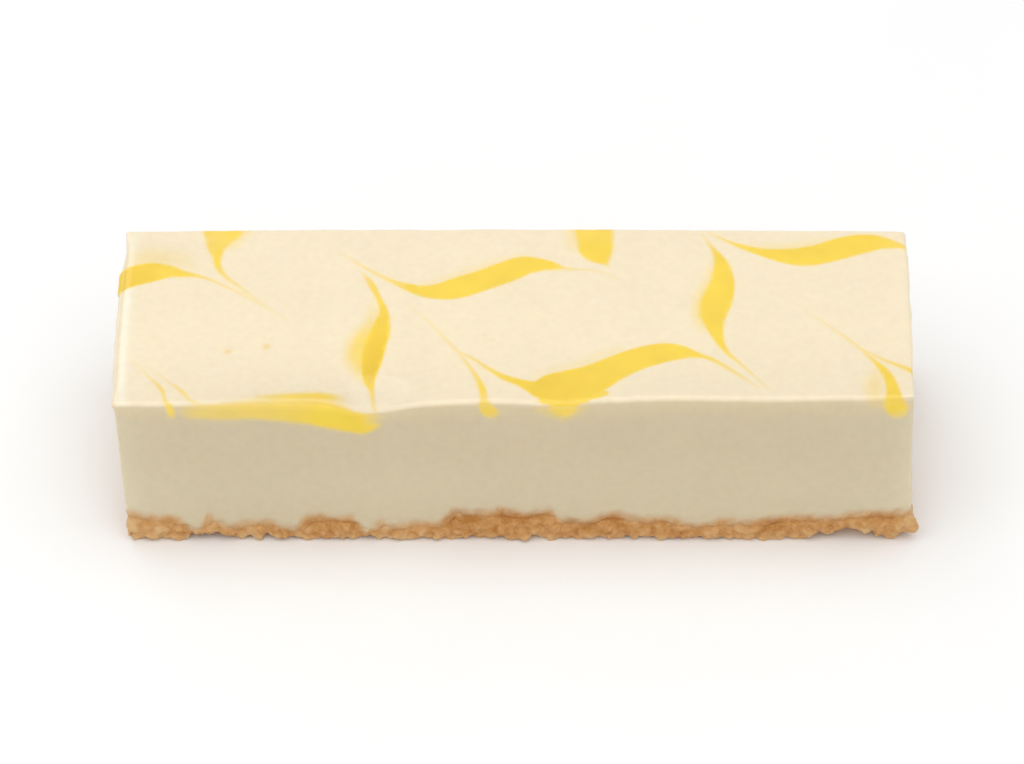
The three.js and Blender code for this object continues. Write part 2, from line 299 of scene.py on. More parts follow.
# ---- settings ------------------------------------------------------------------------

class CheesecakeFilling(PropertyGroup):
    cell: FloatProperty(
        name="Cell", description="Size of the mesh cells away from the marbling",
        default=0.5 * MM, min=0.3 * MM, unit="LENGTH")
    cuts: IntProperty(
        name="Cuts", description="Extra cuts of each cell that a stroke's edge crosses",
        default=3, min=0, max=4)
    lip: FloatProperty(
        name="Glaze Lip", description="How far the glaze swells out along the top edges",
        default=0.07 * MM, min=0.0, unit="LENGTH")
    glaze_depth: FloatProperty(
        name="Glaze Depth", description="How far down the cut faces the glaze reaches",
        default=0.75 * MM, min=0.0, unit="LENGTH")
    top_cream: FloatVectorProperty(
        name="Glazed Cream", description="Cream under the glaze",
        subtype="COLOR", size=4, min=0.0, max=1.0, default=(0.90, 0.775, 0.55, 1.0))
    # Partly painted shade: the cut cream is darker than the glazed cream partly because bare cream is
    # duller and partly for the shade on faces turned from the overhead lamp.
    shaded_cut_cream: FloatVectorProperty(
        name="Cut Cream", description="Cream on the cut faces",
        subtype="COLOR", size=4, min=0.0, max=1.0, default=(0.668, 0.566, 0.38, 1.0))
    # Painted light: paler cream for the cut faces' corners, where light shines through, and for their low
    # part, against the shade there.
    painted_light_cream: FloatVectorProperty(
        name="Pale Cream", description="Cream low on the cut faces and beside their corners",
        subtype="COLOR", size=4, min=0.0, max=1.0, default=(0.75, 0.665, 0.47, 1.0))
    rim_cream: FloatVectorProperty(
        name="Rim", description="Glaze seen at its cut edge",
        subtype="COLOR", size=4, min=0.0, max=1.0, default=(0.735, 0.61, 0.385, 1.0))
    sauce: FloatVectorProperty(
        name="Sauce", description="Lemon sauce of the marbling",
        subtype="COLOR", size=4, min=0.0, max=1.0, default=(0.92, 0.65, 0.042, 1.0))
    # Painted light: the sauce on the cut faces is brighter than on the top, so that it stays bright on
    # the faces turned from the overhead lamp.
    lit_cut_sauce: FloatVectorProperty(
        name="Cut Sauce", description="Lemon sauce on the cut faces",
        subtype="COLOR", size=4, min=0.0, max=1.0, default=(0.97, 0.70, 0.055, 1.0))
    deep_sauce: FloatVectorProperty(
        name="Deep Sauce", description="Lemon sauce where it lies thickest",
        subtype="COLOR", size=4, min=0.0, max=1.0, default=(0.83, 0.54, 0.01, 1.0))
    # Painted highlight: this colour stands for the lamp's reflection where the glaze turns over the left
    # end.
    painted_highlight: FloatVectorProperty(
        name="Gleam", description="Paler glaze where it turns over the left end",
        subtype="COLOR", size=4, min=0.0, max=1.0, default=(0.92, 0.855, 0.665, 1.0))
    fleck: FloatVectorProperty(
        name="Fleck", description="Single specks in the cream",
        subtype="COLOR", size=4, min=0.0, max=1.0, default=(0.84, 0.60, 0.20, 1.0))


class CheesecakeBase(PropertyGroup):
    crumb_radius: FloatVectorProperty(
        name="Crumb Radius", description="Smallest and largest pressed crumb",
        size=2, default=(0.7 * MM, 1.25 * MM), unit="LENGTH")
    spacing: FloatProperty(
        name="Spacing", description="Least distance between pressed crumbs",
        default=1.5 * MM, min=0.3 * MM, unit="LENGTH")
    bit_spacing: FloatProperty(
        name="Bit Spacing", description="Least distance between the small bits",
        default=0.8 * MM, min=0.3 * MM, unit="LENGTH")
    grain: FloatProperty(
        name="Grain", description="Size of the mesh cells of the pressed crumbs",
        default=0.26 * MM, min=0.15 * MM, unit="LENGTH")
    softening: IntProperty(
        name="Softening", description="Rounds of softening of the pressed crumbs",
        default=2, min=0, max=10)
    roughness_depth: FloatProperty(
        name="Roughness Depth", description="Depth of the fine crags",
        default=0.09 * MM, min=0.0, unit="LENGTH")
    seed: IntProperty(name="Seed", description="Draw of the pressed crumbs", default=4, min=0)
    dark: FloatVectorProperty(
        name="Toasted", description="Darkest crumbs",
        subtype="COLOR", size=4, min=0.0, max=1.0, default=(0.46, 0.185, 0.03, 1.0))
    middle: FloatVectorProperty(
        name="Golden", description="Most of the crumbs",
        subtype="COLOR", size=4, min=0.0, max=1.0, default=(0.61, 0.315, 0.105, 1.0))
    light: FloatVectorProperty(
        name="Pale", description="Palest crumbs",
        subtype="COLOR", size=4, min=0.0, max=1.0, default=(0.70, 0.45, 0.21, 1.0))


class CheesecakeCrumbs(PropertyGroup):
    radius: FloatVectorProperty(
        name="Radius", description="Smallest and largest loose crumb",
        size=2, default=(0.08 * MM, 0.22 * MM), unit="LENGTH")
    spacing: FloatProperty(
        name="Spacing", description="Least distance between loose crumbs",
        default=6.0 * MM, min=0.3 * MM, unit="LENGTH")
    seed: IntProperty(name="Seed", description="Draw of the loose crumbs", default=11, min=0)


class CheesecakeStage(PropertyGroup):
    floor: FloatVectorProperty(
        name="Floor", description="Colour of the plain floor",
        subtype="COLOR", size=4, min=0.0, max=1.0, default=(0.93, 0.93, 0.93, 1.0))
    lamp_power: FloatProperty(
        name="Lamp", description="Power of the overhead lamp", default=5.9, min=0.0, unit="POWER")
    rim_power: FloatProperty(
        name="Rim", description="Power of the lamp behind", default=0.5, min=0.0, unit="POWER")
    sky: FloatProperty(name="Sky", description="Strength of the even light", default=0.6, min=0.0)
    elevation: FloatProperty(
        name="Elevation", description="How far the camera looks down",
        default=math.radians(41.0), unit="ROTATION")
    distance: FloatProperty(
        name="Distance", description="From the camera to the point it looks at",
        default=717.35 * MM, min=0.1, unit="LENGTH")
    lens: FloatProperty(name="Lens", description="Focal length in mm", default=196.875, min=10.0)


# ---- maths on arrays of points, in mm ------------------------------------------------

def ease(value, low, high):
    t = np.clip((value - low) / (high - low), 0.0, 1.0)
    return t * t * (3 - 2 * t)


def mix(a, b, factor):
    return a + (b - a) * factor


def bell(distance, width):
    return np.exp(-((distance / width) ** 2))


def lattice_noise(points, cell, seed):
    """Smooth noise from -1 to 1, one value for each point."""
    scaled = points / cell
    corner = np.floor(scaled).astype(np.int64)
    inside = scaled - corner
    inside = inside * inside * (3 - 2 * inside)
    total = np.zeros(len(points))
    for step in np.ndindex(2, 2, 2):
        at = corner + np.array(step)
        mixed = (at[:, 0] * 73856093) ^ (at[:, 1] * 19349663) ^ (at[:, 2] * 83492791) ^ (seed * 9781)
        mixed = ((mixed ^ (mixed >> 13)) * 1274126177) & 0xFFFFFFFF
        mixed = (mixed ^ (mixed >> 16)) / 0xFFFFFFFF * 2 - 1
        weight = np.where(step, inside, 1 - inside).prod(axis=1)
        total += mixed * weight
    return total


def crust_height(x):
    left = np.clip(np.searchsorted(CRUST_LINE[:, 0], x, side="right") - 1, 0, len(CRUST_LINE) - 2)
    start, stop = CRUST_LINE[left], CRUST_LINE[left + 1]
    t = np.clip((x - start[..., 0]) / (stop[..., 0] - start[..., 0]), 0.0, 1.0)
    return mix(start[..., 1], stop[..., 1], t * t * (3 - 2 * t))


def base_top(x, y):
    slow = np.sin(x / 3.7 + 1.1) * np.cos(y / 4.3 - x / 9)
    quick = 0.6 * np.sin(x / 1.7 + y / 2.1)
    inside = BASE_MEAN + RIPPLE * (slow + quick)
    return mix(crust_height(x), inside, ease(y, 1 - SIDE, FRONT_BAND - SIDE))


def crumb_share(points):
    """How far the colour of a point near the top of the base is that of the crumbs."""
    above = points[:, 2] - base_top(points[:, 0], points[:, 1])
    dragged = 0.6 * lattice_noise(points, 2.6, 9) + 0.45 * lattice_noise(points, 0.9, 10)
    return 1 - ease(above + dragged, *SMEAR_RANGE)


# Where the front of the base is darker or paler: x, height, radius and change of tone.
TOAST_PATCHES = (
    (-48.6, 2.4, 1.3, 0.6), (-44.5, 2.4, 2.4, 0.2), (-39.0, 3.2, 1.3, 0.35),
    (-33.0, 2.0, 2.2, 0.2), (-24.0, 3.2, 2.6, -0.08), (-17.3, 3.2, 1.2, 0.4),
    (-13.0, 1.6, 2.6, 0.12), (-6.5, 4.0, 2.6, -0.3), (-0.5, 3.4, 2.8, -0.22),
    (3.6, 4.6, 1.4, -0.1), (7.0, 3.4, 0.8, -0.6), (9.6, 2.0, 1.2, -0.3),
    (13.2, 3.4, 2.0, -0.25), (21.0, 1.2, 1.6, -0.15), (27.0, 1.4, 2.2, 0.1),
    (33.0, 3.0, 1.6, -0.3), (40.5, 3.4, 2.4, -0.05), (45.0, 1.6, 1.6, 0.25),
    (47.0, 3.2, 1.8, -0.15), (50.0, 3.4, 1.6, 0.3),
)


def toast(points):
    """How much paler or darker the front of the base is at each point."""
    change = np.zeros(len(points))
    for x, z, radius, amount in TOAST_PATCHES:
        distance = np.hypot(points[:, 0] - x, points[:, 2] - z)
        change += amount * bell(distance, radius)
    return change * (1 - ease(points[:, 1], 2 - SIDE, 5 - SIDE))


def crumb_tone(points):
    """Tone of the crumbs at a point, dark near the filling and paler at the foot."""
    above = points[:, 2] - base_top(points[:, 0], points[:, 1])
    foot = 0.22 * (1 - ease(points[:, 2], 0.3, 1.5))
    # The darkening just under the filling follows darker crumbs there and is also painted shade on their
    # upward-facing ledge, which the overhead lamp lights.
    return 0.5 + toast(points) + foot - 0.14 * bell(above + 0.8, 1.0)


def gap_height(x, y):
    """Height of the hollows under the front edge."""
    height = np.zeros(np.shape(x))
    for middle, half_width, top in LOWER_GAPS:
        left = 1 - ((x - middle) / half_width) ** 2 - ((y + SIDE) / LOWER_GAP_REACH) ** 2
        height = np.maximum(height, top * np.sqrt(np.clip(left, 0, None)))
    return height


def top_lift(x, y):
    along = x / END
    lift = mix(FRONT_RISE * along, -BACK_SAG * along * along, (y + SIDE) / DEPTH)
    width = np.where(x < DENT["x"], DENT["left"], DENT["right"])
    lift -= DENT["depth"] * bell(x - DENT["x"], width) * bell(y + SIDE, DENT["reach"])
    for sag in FRONT_SAGS:
        lift -= sag["depth"] * bell(x - sag["x"], sag["width"]) * bell(y + SIDE, sag["reach"])
    return lift


def left_end(y, z):
    up = z / HEIGHT
    swell = LEFT_SWELL["out"] * up * bell(y - LEFT_SWELL["y"], LEFT_SWELL["width"])
    return -END - swell + LEFT_LEAN * (1 - up)


def right_end(y, z):
    up = z / HEIGHT
    swell = RIGHT_SWELL["out"] * up * bell(y - RIGHT_SWELL["y"], RIGHT_SWELL["width"])
    return END + swell + RIGHT_LEAN * (1 - up)


def rounded(points):
    """Points of the plain block moved onto its rounded edges."""
    x, y, z = points.T
    leftness = 1 - ease(x, 2 * SHOULDER - END, 4 * SHOULDER - END)
    topness = ease(z, HEIGHT - 4 * SHOULDER, HEIGHT - SHOULDER)
    between = 1 - ease(np.abs(y), SIDE - 4.5, SIDE - 0.8)
    frontness = 1 - ease(y, 2.4 - SIDE, 4.0 - SIDE)
    over_pool = ease(x, -41, -34) * (1 - ease(x, -20, -14))
    radius = mix(EDGE, TOP_EDGE, topness)
    radius = mix(radius, SHOULDER, leftness * topness * between)
    radius = mix(radius, POOL_EDGE, over_pool * frontness * topness)
    inner = np.stack((
        np.clip(x, radius - END, END - radius),
        np.clip(y, radius - SIDE, SIDE - radius),
        np.minimum(z, HEIGHT - radius),
    ), axis=1)
    out = points - inner
    out *= (radius / np.linalg.norm(out, axis=1))[:, None]
    return inner + out, out / radius[:, None]


def settled(points):
    """The plain block's points with leaning ends, tilted top and dented front edge."""
    x, y, z = points.T
    return np.stack((
        mix(left_end(y, z), right_end(y, z), (x + END) / LENGTH),
        y,
        z + top_lift(x, y) * (z / HEIGHT) ** 3,
    ), axis=1)


# ---- sauce ---------------------------------------------------------------------------

def smooth_path(points):
    """Even samples of a smooth line through the points, with their other values."""
    points = np.array(points)
    padded = np.vstack((2 * points[0] - points[1], points, 2 * points[-1] - points[-2]))
    samples = []
    for before, start, stop, after in zip(padded, padded[1:], padded[2:], padded[3:]):
        count = max(2, int(np.linalg.norm(stop[:2] - start[:2]) / STROKE_STEP))
        for t in np.arange(count) / count:
            bend = 2 * before - 5 * start + 4 * stop - after
            swing = 3 * start - before - 3 * stop + after
            samples.append(start + 0.5 * t * (stop - before + t * (bend + t * swing)))
    samples.append(points[-1])
    samples = np.array(samples)
    samples[:, 2:] = np.clip(samples[:, 2:], 0.02, None)
    return samples


def depth_in_path(path, flat, reach):
    """Index of the points near a path, how deep they lie in it, its half width and strength."""
    low = path[:, :2].min(axis=0) - reach
    high = path[:, :2].max(axis=0) + reach
    near = np.flatnonzero(((flat > low) & (flat < high)).all(axis=1))
    start, stop = path[:-1], path[1:]
    along = stop[:, :2] - start[:, :2]
    square = (along ** 2).sum(axis=1)
    depth = np.empty(len(near))
    values = np.empty((len(near), 2))
    for first in range(0, len(near), 20000):
        rows = slice(first, first + 20000)
        offset = flat[near[rows], None, :] - start[None, :, :2]
        t = np.clip((offset * along).sum(axis=2) / square, 0.0, 1.0)
        gap = np.linalg.norm(offset - t[:, :, None] * along, axis=2)
        inside = mix(start[:, 2], stop[:, 2], t) - gap
        best = inside.argmax(axis=1)
        pick = np.arange(len(best))
        depth[rows] = inside[pick, best]
        values[rows] = mix(start[best, 2:], stop[best, 2:], t[pick, best][:, None])
    return near, depth, values[:, 0], values[:, 1]


def sauce_cover(flat):
    """How much sauce covers each point of the unfolded surface, and where strokes end."""
    cover = np.zeros(len(flat))
    edge = np.full(len(flat), 9.0)
    for name, points in STROKES.items():
        near, inside, _, strength = depth_in_path(smooth_path(points), flat, 4.0)
        blur = SOFT_STROKES.get(name, STROKE_BLUR)
        amount = strength * ease(inside, -blur, blur)
        cover[near] = np.maximum(cover[near], amount)
        edge[near] = np.minimum(edge[near], np.abs(inside))
    for points in HALOS.values():
        near, inside, half_width, strength = depth_in_path(smooth_path(points), flat, 4.0)
        amount = strength * ease(inside, -half_width, half_width)
        cover[near] = 1 - (1 - cover[near]) * (1 - amount)
    return cover, edge


def fleck_cover(flat):
    """How much each point of the unfolded surface is tinted by single tan flecks."""
    cover = np.zeros(len(flat))
    distance = np.full(len(flat), 9.0)
    for x, y, radius, strength in FLECKS:
        away = np.hypot(flat[:, 0] - x, flat[:, 1] - y)
        cover = np.maximum(cover, strength * bell(away, radius))
        distance = np.minimum(distance, away)
    return cover, distance


# ---- mesh helpers --------------------------------------------------------------------

def link(name, mesh):
    piece = bpy.data.objects.new(name, mesh)
    bpy.context.scene.collection.objects.link(piece)
    return piece


def read_points(mesh):
    flat = np.empty(3 * len(mesh.vertices))
    mesh.vertices.foreach_get("co", flat)
    return flat.reshape(-1, 3)


def write_points(mesh, points):
    mesh.vertices.foreach_set("co", np.asarray(points, dtype=np.float32).ravel())
    mesh.update()


def write_attribute(mesh, name, values):
    layer = mesh.attributes.get(name) or mesh.attributes.new(name, "FLOAT", "POINT")
    layer.data.foreach_set("value", np.asarray(values, dtype=np.float32))


def placed(points):
    """From mm round the bar's own middle to metres in the frame."""
    return (points + np.array(MIDDLE)) * MM


def unplaced(points):
    return points / MM - np.array(MIDDLE)


def evaluated_mesh(piece):
    """The plain mesh of a piece with its modifiers applied. The piece is removed."""
    bpy.context.view_layer.update()
    depsgraph = bpy.context.evaluated_depsgraph_get()
    mesh = bpy.data.meshes.new_from_object(piece.evaluated_get(depsgraph))
    bpy.data.objects.remove(piece)
    return mesh


def finish_piece(piece, slot, *nodes):
    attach(piece, "root")
    if nodes:
        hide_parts(*nodes)


# ---- filling -------------------------------------------------------------------------

EDGE_STEPS = np.array((0, 0.1, 0.22, 0.36, 0.52, 0.72, 0.95, 1.2, 1.5))


def stations(half, cell):
    inner = half - EDGE_STEPS[-1]
    even = np.linspace(-inner, inner, round(2 * inner / cell) + 1)
    return np.concatenate((EDGE_STEPS[:-1] - half, even, half - EDGE_STEPS[-2::-1]))


def depth_stations(cell, depth):
    """Depths below the top, close together near it and near the base."""
    even = np.linspace(EDGE_STEPS[-1], 8.0, round((8.0 - EDGE_STEPS[-1]) / cell) + 1)
    wide = np.linspace(8.0, depth - 5.5, round((depth - 13.5) / (1.8 * cell)) + 1)
    low = np.linspace(depth - 5.5, depth, round(5.5 / (0.7 * cell)) + 1)
    return np.concatenate((EDGE_STEPS[:-1], even, wide[1:], low[1:]))


def block_mesh(xs, ys, depths):
    """An open-bottomed block of square cells, with its points in mm."""
    bm = bmesh.new()
    corners = {}

    def corner(i, j, k):
        key = (i, j, k)
        if key not in corners:
            corners[key] = bm.verts.new((xs[i], ys[j], HEIGHT - depths[k]))
        return corners[key]

    def cell(*keys):
        bm.faces.new([corner(*key) for key in keys])

    last_x, last_y = len(xs) - 1, len(ys) - 1
    for i in range(last_x):
        for j in range(last_y):
            cell((i, j, 0), (i + 1, j, 0), (i + 1, j + 1, 0), (i, j + 1, 0))
    for k in range(len(depths) - 1):
        for i in range(last_x):
            cell((i, 0, k + 1), (i + 1, 0, k + 1), (i + 1, 0, k), (i, 0, k))
            cell((i + 1, last_y, k + 1), (i, last_y, k + 1), (i, last_y, k), (i + 1, last_y, k))
        for j in range(last_y):
            cell((0, j + 1, k + 1), (0, j, k + 1), (0, j, k), (0, j + 1, k))
            cell((last_x, j, k + 1), (last_x, j + 1, k + 1), (last_x, j + 1, k), (last_x, j, k))
    return bm


def unfolded(points):
    """Points of the plain block with its cut faces folded up level with the top."""
    x, y, z = points.T
    down = HEIGHT - z
    flat_x = np.where(np.abs(x) > END - 1e-4, np.sign(x) * (END + down), x)
    flat_y = np.where(np.abs(y) > SIDE - 1e-4, np.sign(y) * (SIDE + down), y)
    on_end = (np.abs(x) > END - 1e-4) & (np.abs(y) < SIDE - 1e-4)
    return np.stack((flat_x, np.where(on_end, y, flat_y)), axis=1)


def bmesh_points(bm):
    return np.array([vert.co[:] for vert in bm.verts])


def refine_near_sauce(bm, cuts):
    """Cuts the cells that an edge of the marbling crosses into smaller ones."""
    flat = unfolded(bmesh_points(bm))
    _, edge = sauce_cover(flat)
    _, to_fleck = fleck_cover(flat)
    bm.verts.index_update()
    near = (edge < 0.5) | (to_fleck < 0.6)
    chosen = [
        line for line in bm.edges
        if near[line.verts[0].index] and near[line.verts[1].index] and line.calc_length() > 0.3
    ]
    bmesh.ops.subdivide_edges(bm, edges=chosen, cuts=cuts, use_grid_fill=True)
    many_sided = [face for face in bm.faces if len(face.verts) > 4]
    bmesh.ops.triangulate(bm, faces=many_sided)


def close_underside(bm):
    """Closes the block below with a rim and a level face, both hidden by the base."""
    rim = [line for line in bm.edges if line.is_boundary]
    made = bmesh.ops.extrude_edge_only(bm, edges=rim)["geom"]
    inner = [item for item in made if isinstance(item, bmesh.types.BMVert)]
    for vert in inner:
        vert.co.x *= 0.92
        vert.co.y *= 0.8
    loop = [item for item in made if isinstance(item, bmesh.types.BMEdge) and item.is_boundary]
    bmesh.ops.holes_fill(bm, edges=loop, sides=0)
    return inner


def filling_points(plain, hidden, settings):
    """The plain block's points in their real place, with the attributes of each."""
    flat = unfolded(plain)
    cover, _ = sauce_cover(flat)
    fleck, _ = fleck_cover(flat)
    x, y, z = plain.T
    down = HEIGHT - z
    line = base_top(x, y)
    on_side = down > 1e-4
    lowest = line - np.minimum(1.7, 0.55 * line)
    z = np.where(on_side, HEIGHT - down * (HEIGHT - lowest) / HEIGHT, z)
    round_points, out = rounded(np.stack((x, y, z), axis=1))
    down = HEIGHT - z

    # The glaze swells out just under the edge, and sauce that ran over bulges a little.
    ragged = lattice_noise(plain, 5.0, 3) + 0.5 * lattice_noise(plain, 1.6, 4)
    glaze_depth = settings.glaze_depth / MM * (1 + 0.35 * ragged)
    lip = settings.lip / MM * bell(down - 0.55, 0.5) * (1 + 0.6 * ragged)
    bulge = np.where(x < 1 - END, 0.28, 0.08) * cover * ease(down, 0.0, 1.0)
    drift = 0.06 * lattice_noise(plain, 9.0, 5) + 0.03 * lattice_noise(plain, 2.2, 6)
    wobble = 0.1 * lattice_noise(plain, 3.4, 12) + 0.06 * lattice_noise(plain, 1.2, 13)
    wobble *= 1 - 0.75 * ease(down, 1.0, 3.5)
    # Behind the crumbs the cut face turns in, so that they stand a little proud of it.
    below = line + 0.3 * lattice_noise(plain, 1.5, 9) - z
    tuck = 0.1 * ease(below, -1.2, 0.0) + 0.9 * ease(below, 0.9, 1.7)
    tuck -= 0.12 * lattice_noise(plain, 0.9, 10) * ease(below, -0.8, 0.3)
    # The left end juts out in its middle and lies back at its far corner. The right end
    # lies back at its near corner.
    jut = 0.18 * ease(y, -14.0, -9.0) * (1 - ease(y, 9.5, 11.5)) - 0.3 * ease(y, 11.0, 14.0)
    overhang = LEFT_OVERHANG * ease(down, 0.3, 1.9)
    tuck += (overhang - jut) * (1 - ease(x, 0.3 - END, 2 - END))
    corner_tuck = 0.25 * (1 - ease(y, -14.0, -9.0)) * (1 - ease(down, 9.0, 17.0))
    tuck += corner_tuck * ease(x, END - 2, END - 0.3)
    push = lip + bulge + wobble + drift * ease(down, 0.2, 2.0) - tuck * on_side
    level_out = out * np.array((1.0, 1.0, 0.0))
    moved = round_points + level_out * push[:, None]
    moved[:, 2] += 0.04 * lattice_noise(plain, 6.0, 8) * (1 - ease(down, 0.0, 2.0))
    final = settled(moved)
    final[hidden, 2] = BASE_MEAN - 1.5

    glaze = 1 - ease(down, glaze_depth, glaze_depth + 0.5)
    cut = ease(down, 0.15, 0.8)
    rim = ease(down, 0.2, 0.7) * (1 - ease(down, 0.5 * glaze_depth, 6.0 * glaze_depth))
    # Painted light: the cut faces are paler beside the upright corners, standing for light that shines
    # through the thin corners, and low down, where it offsets the shade near the floor.
    corner = np.minimum(END - np.abs(x) + (SIDE - np.abs(y)), 50.0)
    painted_light = cut * (0.8 * np.exp(-corner / 2.2) + 0.25 * ease(down, 7.0, 16.0))
    # Painted highlight: a paler stripe where the glaze turns over the left end stands for the lamp's
    # reflection on that shoulder. Painted shade: the top is a little darker towards the front, most of
    # all behind the front pool.
    painted_highlight = bell(x + END - 1.3, 0.6) * (1 - 0.5 * ease(y, 3.0, 8.0)) * (1 - cut)
    shade = 0.05 * (1 - ease(y, -16.5, -4.0))
    shade += 0.06 * bell(x + 28.5, 9.0) * bell(y + SIDE, 3.0)
    shade += 0.05 * bell(x + 45.5, 5.0) * bell(y - 12.0, 3.0)
    # The slope of the dent would look too light beside the level cream.
    shade += 0.07 * bell(x + 17.0, 4.8) * bell(y + 14.8, 3.0)
    return final, {
        "sauce": cover, "fleck": fleck, "glaze": glaze, "cut": cut, "rim": rim, "painted_light": painted_light,
        "shade": shade * (1 - cut), "painted_highlight": painted_highlight, "smear": crumb_share(final),
        "tone": crumb_tone(final),
    }


def make_filling(settings):
    cell = settings.cell / MM
    bm = block_mesh(stations(END, cell), stations(SIDE, cell), depth_stations(cell, HEIGHT))
    refine_near_sauce(bm, settings.cuts)
    inner = close_underside(bm)
    bm.verts.index_update()
    hidden = np.array([vert.index for vert in inner])
    plain = bmesh_points(bm)
    points, attributes = filling_points(plain, hidden, settings)
    mesh = bpy.data.meshes.new("lemon_cheese")
    bm.to_mesh(mesh)
    bm.free()
    write_points(mesh, placed(points))
    for name, values in attributes.items():
        write_attribute(mesh, name, values)
    mesh.shade_smooth()
    return link("lemon_cheese", mesh)


# ---- biscuit base --------------------------------------------------------------------

def outline(inset, step):
    """Points round the bar, going round counterclockwise from the front left corner."""
    corners = np.array(((-END, -SIDE), (END, -SIDE), (END, SIDE), (-END, SIDE), (-END, -SIDE)))
    corners = corners - np.sign(corners) * inset
    points = []
    for start, stop in zip(corners, corners[1:]):
        count = round(np.linalg.norm(stop - start) / step)
        points.extend(mix(start, stop, t) for t in np.arange(count) / count)
    return np.array(points)


def at_foot(x, y, z):
    """Where a point of the plain outline lies on the leaning ends, at height z."""
    left = left_end(y, z) + LEFT_RECESS
    return mix(left, right_end(y, z) + RIGHT_PROUD, (x + END) / LENGTH)


def band_mesh(inset, low, high, rows, curve=0.0):
    """A strip round the base that crumbs are strewn over, its rims curved inwards."""
    ring = outline(inset, 0.8)
    bm = bmesh.new()
    lines = []
    for t in np.linspace(0, 1, rows + 1):
        x, y = (ring * (1 - curve * (2 * t - 1) ** 2 / np.array((END, SIDE)))).T
        z = mix(low + gap_height(x, y - inset), base_top(x, y) + high, t)
        spots = placed(np.stack((at_foot(x, y, z), y, z), axis=1))
        lines.append([bm.verts.new(spot) for spot in spots])
    for lower, upper in zip(lines, lines[1:]):
        for i in range(len(ring)):
            j = (i + 1) % len(ring)
            bm.faces.new((lower[i], lower[j], upper[j], upper[i]))
    mesh = bpy.data.meshes.new("band")
    bm.to_mesh(mesh)
    bm.free()
    return mesh


SLAB_CELLS = (200, 66)
# How far in the slab's side lies, from its foot to its top.
SLAB_PROFILE = (
    (0.65, 0.0), (0.35, 0.2), (0.12, 0.48), (0.14, 0.7), (0.4, 0.87), (1.1, 1.0),
)


def slab_mesh():
    """The pressed slab behind the crumbs of the cut faces."""
    across, back = SLAB_CELLS
    border = [(i, 0) for i in range(across)] + [(across, j) for j in range(back)]
    border += [(i, back) for i in range(across, 0, -1)] + [(0, j) for j in range(back, 0, -1)]
    bm = bmesh.new()
    levels = []
    for inset, height in SLAB_PROFILE:
        xs = np.linspace(inset - END, END - inset, across + 1)
        ys = np.linspace(inset - SIDE, SIDE - inset, back + 1)
        x, y = (grid.ravel() for grid in np.meshgrid(xs, ys, indexing="ij"))
        spot = np.stack((x, y, np.zeros_like(x)), axis=1)
        worn = np.clip(0.2 + 0.45 * lattice_noise(spot, 1.7, 31), 0, None)
        low = gap_height(x, y - inset) + worn * ease(np.abs(y), SIDE - 2.5, SIDE - 1)
        z = mix(low, base_top(x, y) - 0.05, height)
        spots = placed(np.stack((at_foot(x, y, z), y, z), axis=1))
        whole = height in (0.0, 1.0)
        chosen = range(len(spots)) if whole else [i * (back + 1) + j for i, j in border]
        verts = {k: bm.verts.new(spots[k]) for k in chosen}
        loop = [verts[i * (back + 1) + j] for i, j in border]
        levels.append((verts, loop))
    for (verts, _), up in ((levels[0], False), (levels[-1], True)):
        for i in range(across):
            for j in range(back):
                k = i * (back + 1) + j
                corners = [verts[k], verts[k + back + 1], verts[k + back + 2], verts[k + 1]]
                bm.faces.new(corners if up else corners[::-1])
    for (_, lower), (_, upper) in zip(levels, levels[1:]):
        for k in range(len(border)):
            after = (k + 1) % len(border)
            bm.faces.new((lower[k], lower[after], upper[after], upper[k]))
    mesh = bpy.data.meshes.new("slab")
    bm.to_mesh(mesh)
    bm.free()
    return mesh


